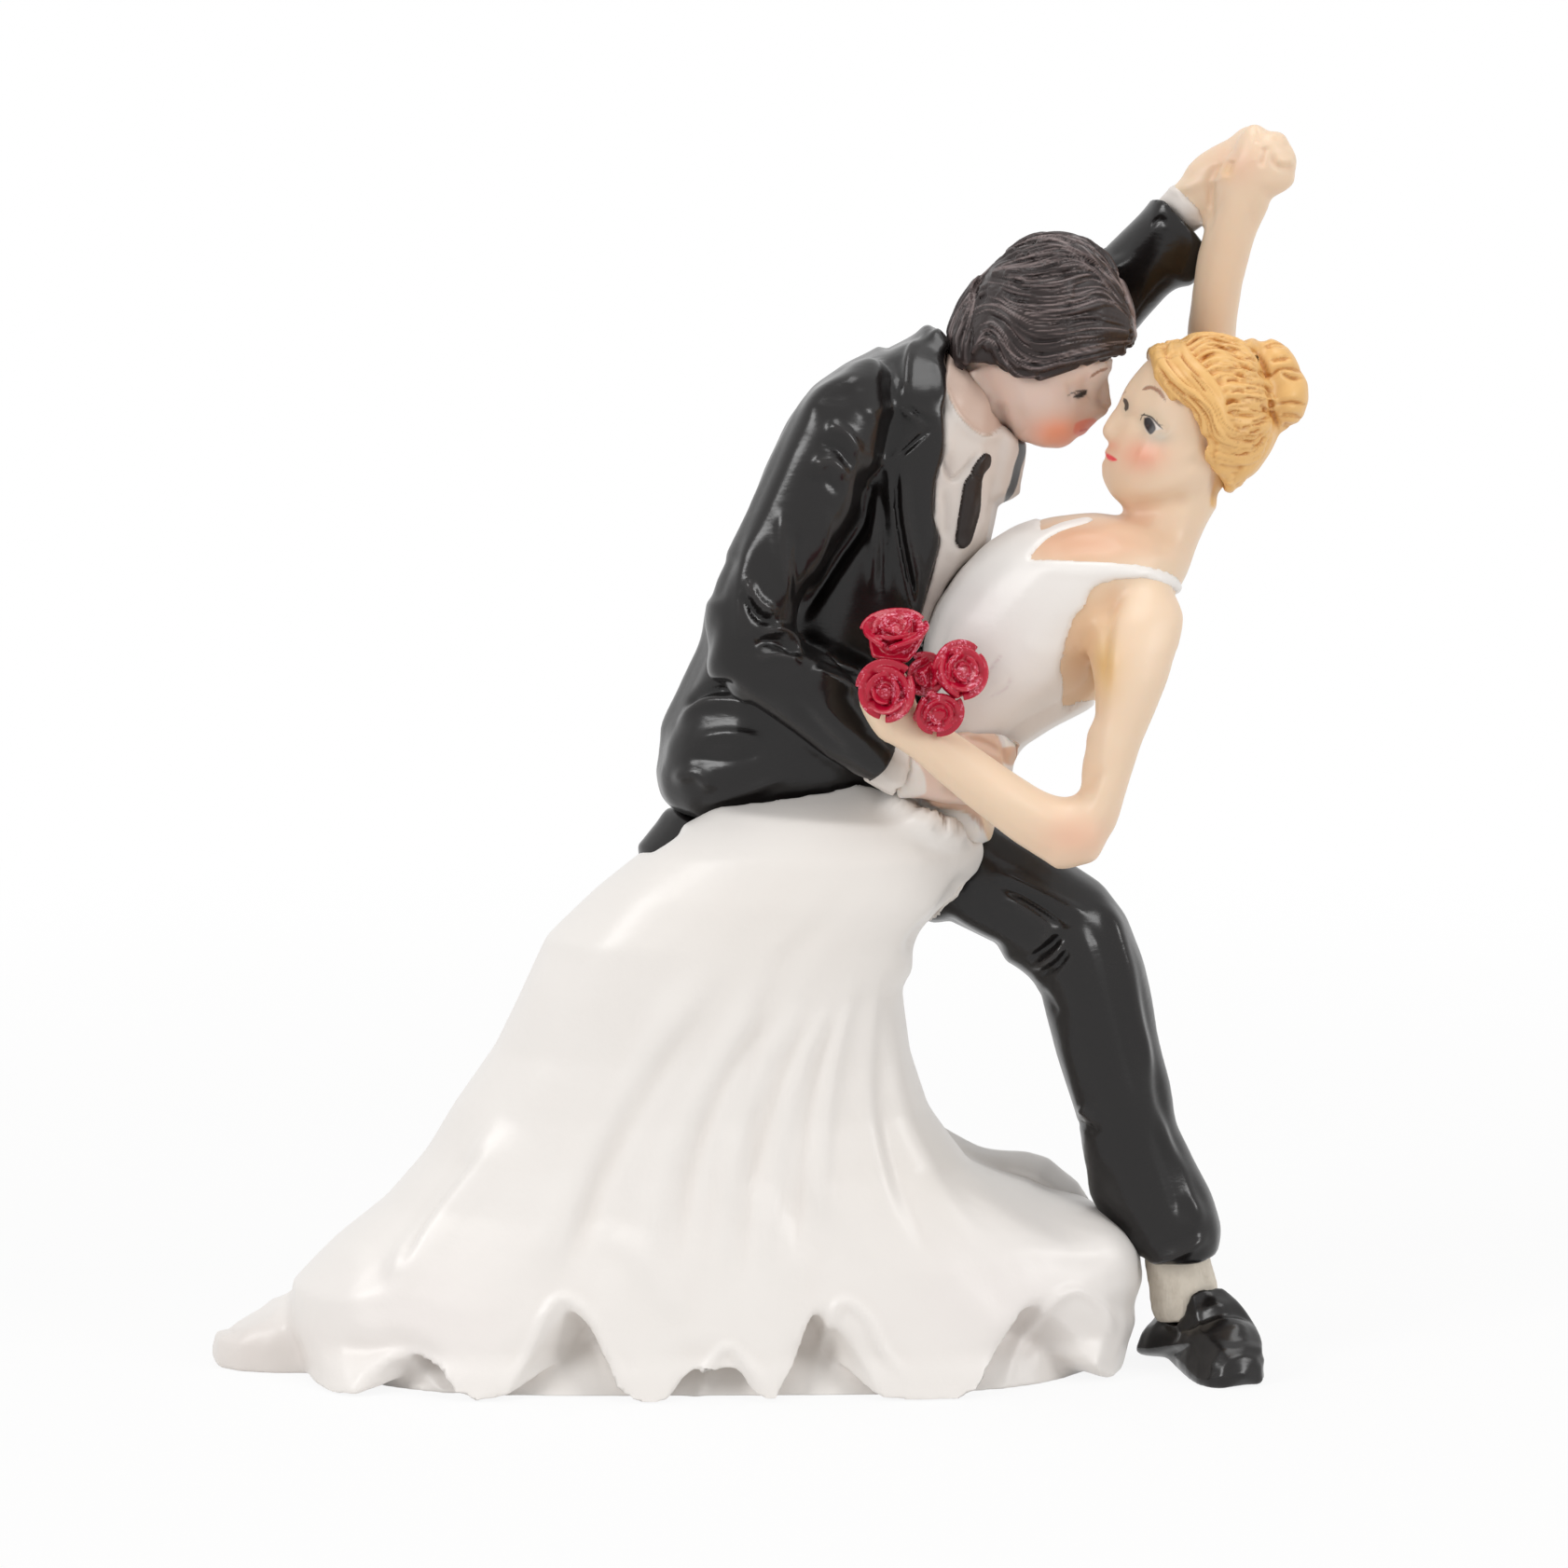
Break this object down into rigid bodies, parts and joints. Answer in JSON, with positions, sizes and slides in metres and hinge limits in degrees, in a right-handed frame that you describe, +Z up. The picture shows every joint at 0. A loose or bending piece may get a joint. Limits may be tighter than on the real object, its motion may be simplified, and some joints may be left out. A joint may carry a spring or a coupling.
{
  "type": "wedding cake topper",
  "caption": "Resin couple in a dance dip: a groom in a black suit leans over his bride in a long white gown with roses.",
  "frame": {"origin": "bottom centre of the topper's bounding box, on the plane it stands on", "axes": "+Z up, +X to the viewer's right in the picture (towards the bride's bun and the groom's shoe), +Y away from the viewer (behind the gown)"},
  "size_m": [0.1214, 0.046, 0.1366],
  "materials": {
    "groom_skin": "satin painted resin",
    "bride_skin": "satin painted resin",
    "black_gloss": "gloss enamel on resin",
    "shirt_white": "satin paint on resin",
    "tie_brown": "gloss paint on resin",
    "dark_hair": "gloss paint on resin",
    "blonde_hair": "satin paint on resin",
    "gown_white": "satin white paint on resin",
    "rose_crimson": "glittered paint on resin",
    "bare_resin": "bare brushed resin"
  },
  "bodies": {
    "root": {"groom_head": "groom_skin", "groom_waist_hand": "groom_skin", "groom_raised_hand": "bride_skin", "groom_hair": "dark_hair", "groom_shirt": "shirt_white", "groom_tie": "tie_brown", "groom_near_cuff": "shirt_white", "groom_raised_cuff": "shirt_white", "groom_jacket": "black_gloss", "groom_near_sleeve": "black_gloss", "groom_raised_sleeve": "black_gloss", "groom_front_trouser_leg": "black_gloss", "groom_rear_trouser_leg": "black_gloss", "groom_ankle": "bare_resin", "groom_shoe": "black_gloss", "bride_head": "bride_skin", "bride_torso": "bride_skin", "bride_near_arm": "bride_skin", "bride_near_hand": "bride_skin", "bride_far_arm": "bride_skin", "bride_far_hand": "bride_skin", "bride_hair": "blonde_hair", "bride_bun": "blonde_hair", "bride_bodice": "gown_white", "bouquet_rose_1": "rose_crimson", "bouquet_rose_2": "rose_crimson", "bouquet_rose_3": "rose_crimson", "bouquet_rose_4": "rose_crimson", "bouquet_bud": "rose_crimson", "gown_skirt": "gown_white", "gown_underskirt": "gown_white", "gown_back_layer": "gown_white", "gown_train_tip": "gown_white"}
  },
  "joints": []
}
